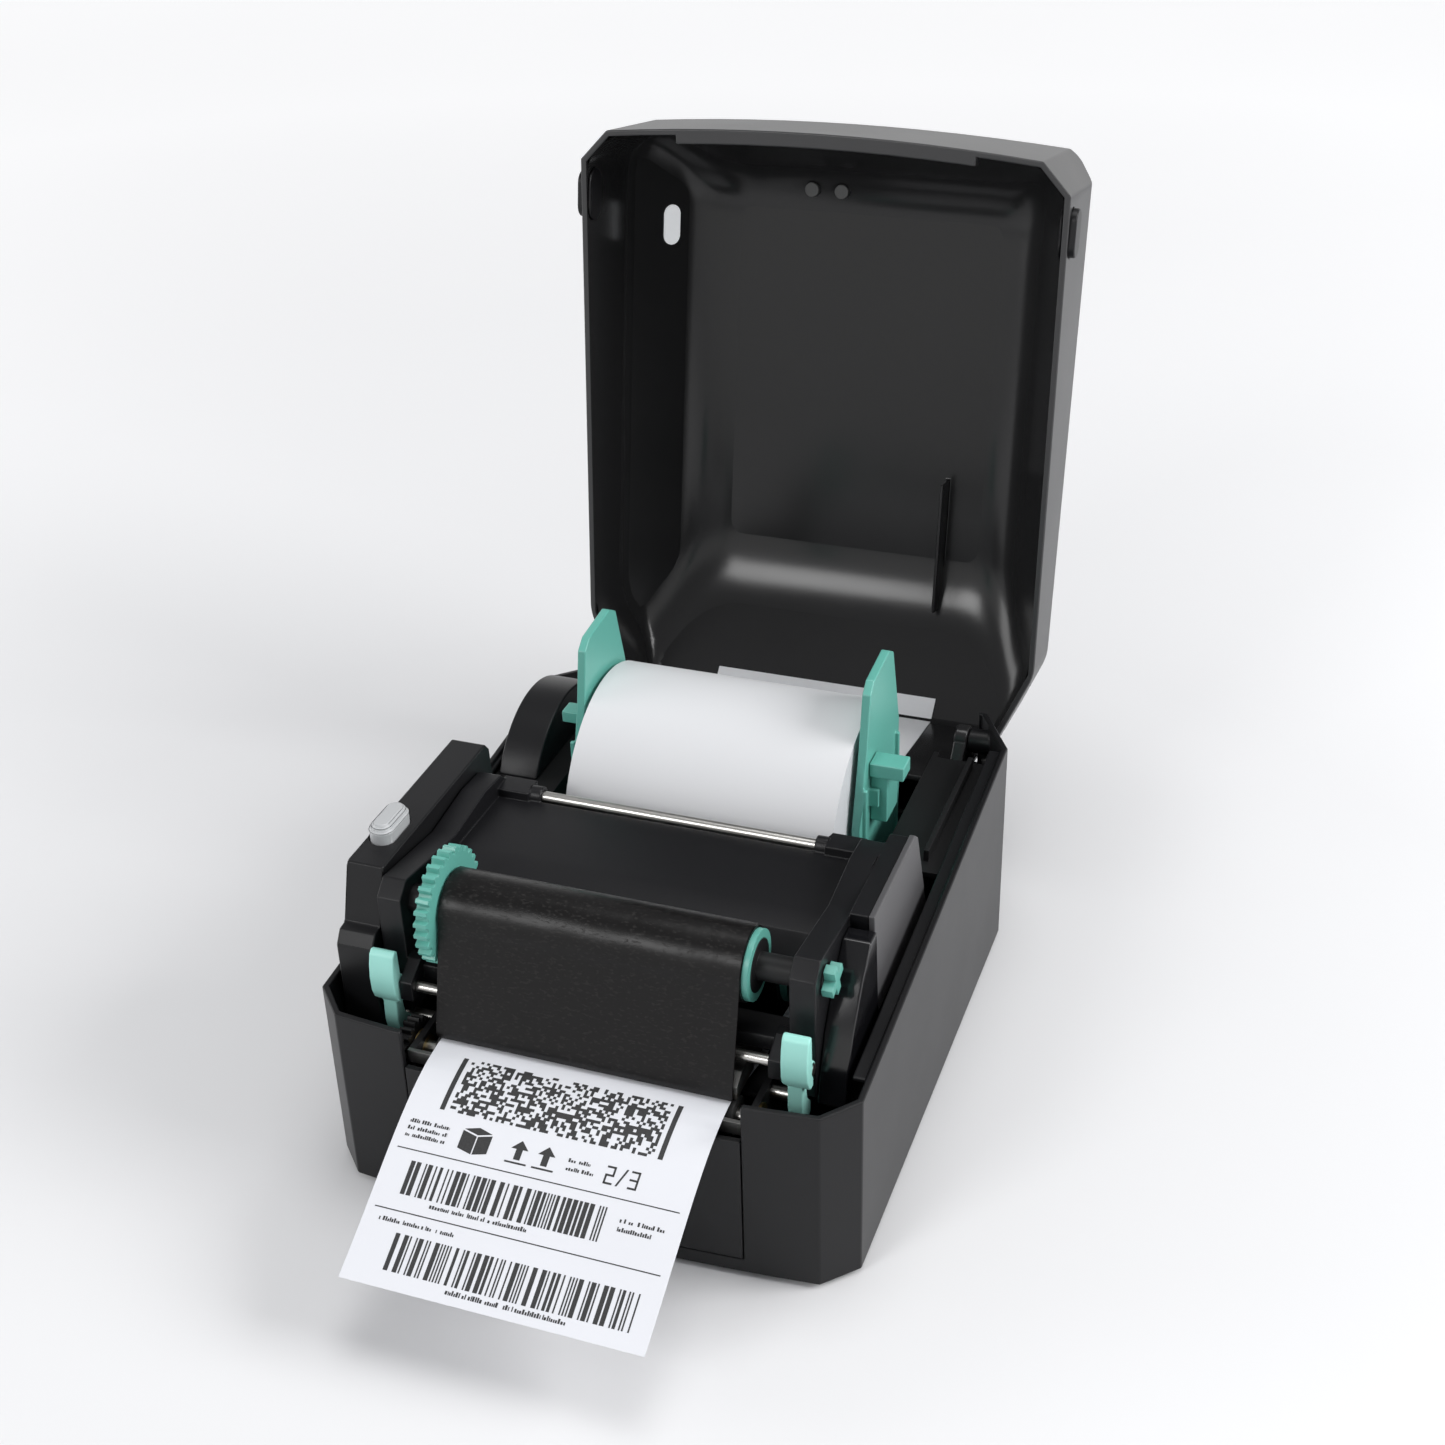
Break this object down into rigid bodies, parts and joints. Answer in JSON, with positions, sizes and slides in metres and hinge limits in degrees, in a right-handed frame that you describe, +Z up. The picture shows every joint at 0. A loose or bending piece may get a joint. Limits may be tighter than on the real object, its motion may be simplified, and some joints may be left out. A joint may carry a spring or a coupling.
{
  "type": "thermal label printer",
  "caption": "Desktop thermal transfer label printer with a raised clamshell lid, a label roll on sliding holders and a hinged ribbon carriage.",
  "frame": {"origin": "on the table, under the middle of the case's footprint", "axes": "+X to the right seen from the front, +Y to the back, +Z up"},
  "size_m": [0.2092, 0.4426, 0.3205],
  "materials": {
    "case_plastic": "fine grained satin",
    "frame_plastic": "satin",
    "gloss_cover": "glossy",
    "grey_plastic": "satin",
    "teal_plastic": "semi-gloss",
    "clear_window": "frosted",
    "silver_button": "satin silver",
    "steel": "brushed",
    "dark_metal": "satin black",
    "brass": "turned",
    "rubber": "matte",
    "board": "solder mask",
    "head_ceramic": "satin",
    "label_paper": "smooth coated",
    "core_card": "plain card",
    "ribbon_film": "glossy film",
    "guide_sheet": "printed sheet"
  },
  "bodies": {
    "case": {"lower_case": "case_plastic", "front_panel": "case_plastic", "media_tray": "frame_plastic", "control_tower": "case_plastic", "side_cheek": "case_plastic", "rubber_feet": "rubber", "case_screws": "steel", "main_board": "board", "dc_inlet": "frame_plastic", "usb_port": "steel", "power_switch_bezel": "frame_plastic", "print_chassis": "dark_metal", "chassis_studs": "steel", "stepper_motor": "steel", "tear_bar": "steel", "platen_bushes": "brass", "sensor_rail": "steel", "label_web": "label_paper", "hinge_pins": "dark_metal", "pivot_pins": "steel", "button_switch": "board"},
    "lid_shell": {"lid": "case_plastic", "status_window": "clear_window", "loading_guide": "guide_sheet"},
    "latch_left": {"lid_latch_left": "frame_plastic"},
    "latch_right": {"lid_latch_right": "frame_plastic"},
    "carriage": {"carriage_frame": "frame_plastic", "carriage_side_cover": "grey_plastic", "mechanism_cover": "gloss_cover", "guide_rod": "steel", "ribbon_web": "ribbon_film", "head_springs": "steel"},
    "head": {"print_head": "head_ceramic", "head_bracket": "steel", "head_pins": "steel"},
    "rewind_roll": {"rewind_spindle": "frame_plastic", "rewind_gear": "teal_plastic", "rewind_ribbon": "ribbon_film", "rewind_hubs": "teal_plastic"},
    "supply_roll": {"supply_spindle": "frame_plastic", "supply_ribbon": "ribbon_film", "supply_hubs": "teal_plastic"},
    "levers": {"lever_shaft": "steel", "release_lever_left": "teal_plastic", "release_lever_right": "teal_plastic"},
    "platen": {"platen_shaft": "steel", "platen_roller": "rubber", "platen_gear": "frame_plastic"},
    "idler": {"idler_gear": "frame_plastic"},
    "pinion": {"motor_pinion": "steel"},
    "roll_holder_left": {"holder_left": "teal_plastic"},
    "roll_holder_right": {"holder_right": "teal_plastic"},
    "lock": {"holder_lock": "teal_plastic"},
    "media_roll": {"roll_core": "core_card", "label_roll": "label_paper"},
    "guide_left": {"label_guide_left": "teal_plastic"},
    "guide_right": {"label_guide_right": "teal_plastic"},
    "sensor": {"media_sensor": "frame_plastic"},
    "button": {"feed_button": "silver_button"},
    "rocker": {"power_rocker": "frame_plastic"}
  },
  "joints": [
    {"name": "lid_hinge", "type": "hinge", "parent": "case", "child": "lid_shell", "pos_m": [0, 0.1155, 0.0795], "axis": [-1, 0, 0], "range_deg": [-100, 0]},
    {"name": "carriage_hinge", "type": "hinge", "parent": "case", "child": "carriage", "pos_m": [0, -0.005, 0.082], "axis": [-1, 0, 0], "range_deg": [0, 40]},
    {"name": "lever_press", "type": "hinge", "parent": "carriage", "child": "levers", "pos_m": [0, -0.1105, 0.0805], "axis": [-1, 0, 0], "range_deg": [0, 18], "stiffness_Nm_per_rad": 0.1, "springref_deg": -17.19},
    {"name": "head_float", "type": "slide", "parent": "carriage", "child": "head", "axis": [0, 0, 1], "range_m": [0, 0.0008], "stiffness_N_per_m": 600, "springref_m": -0.003, "deforming": ["head_springs"]},
    {"name": "platen_spin", "type": "hinge", "parent": "case", "child": "platen", "pos_m": [0, -0.117, 0.0587], "axis": [1, 0, 0], "continuous": true},
    {"name": "idler_spin", "type": "hinge", "parent": "case", "child": "idler", "pos_m": [0, -0.099, 0.03725], "axis": [1, 0, 0], "continuous": true},
    {"name": "pinion_spin", "type": "hinge", "parent": "case", "child": "pinion", "pos_m": [0, -0.08016, 0.02406], "axis": [1, 0, 0], "continuous": true},
    {"name": "rewind_spin", "type": "hinge", "parent": "carriage", "child": "rewind_roll", "pos_m": [0, -0.0965, 0.109], "axis": [1, 0, 0], "continuous": true},
    {"name": "supply_spin", "type": "hinge", "parent": "carriage", "child": "supply_roll", "pos_m": [0, -0.052, 0.082], "axis": [1, 0, 0], "continuous": true},
    {"name": "holder_right_slide", "type": "slide", "parent": "case", "child": "roll_holder_right", "axis": [1, 0, 0], "range_m": [0, 0.006]},
    {"name": "holder_left_slide", "type": "slide", "parent": "case", "child": "roll_holder_left", "axis": [-1, 0, 0], "range_m": [0, 0.006]},
    {"name": "lock_slide", "type": "slide", "parent": "roll_holder_right", "child": "lock", "axis": [0, 0, -1], "range_m": [0, 0.003], "stiffness_N_per_m": 60, "springref_m": -0.003},
    {"name": "roll_spin", "type": "hinge", "parent": "case", "child": "media_roll", "pos_m": [0, 0.044, 0.0775], "axis": [1, 0, 0], "continuous": true},
    {"name": "guide_right_slide", "type": "slide", "parent": "case", "child": "guide_right", "axis": [1, 0, 0], "range_m": [0, 0.004]},
    {"name": "guide_left_slide", "type": "slide", "parent": "case", "child": "guide_left", "axis": [-1, 0, 0], "range_m": [0, 0.004]},
    {"name": "sensor_slide", "type": "slide", "parent": "case", "child": "sensor", "axis": [1, 0, 0], "range_m": [-0.03, 0.03]},
    {"name": "feed_press", "type": "slide", "parent": "case", "child": "button", "axis": [0, 0, -1], "range_m": [0, 0.0012], "stiffness_N_per_m": 300, "springref_m": -0.001},
    {"name": "latch_left_press", "type": "slide", "parent": "lid_shell", "child": "latch_left", "axis": [1, 0, 0], "range_m": [0, 0.0015], "stiffness_N_per_m": 300, "springref_m": -0.001},
    {"name": "latch_right_press", "type": "slide", "parent": "lid_shell", "child": "latch_right", "axis": [-1, 0, 0], "range_m": [0, 0.0015], "stiffness_N_per_m": 300, "springref_m": -0.001},
    {"name": "power_rock", "type": "hinge", "parent": "case", "child": "rocker", "pos_m": [0.052, 0.128, 0.036], "axis": [0, 0, 1], "range_deg": [0, 18]}
  ],
  "couplings": [
    {"joint": "idler_spin", "follows": "platen_spin", "ratio": -0.55556},
    {"joint": "pinion_spin", "follows": "platen_spin", "ratio": 2},
    {"joint": "holder_left_slide", "follows": "holder_right_slide", "ratio": 1},
    {"joint": "guide_left_slide", "follows": "guide_right_slide", "ratio": 1}
  ]
}
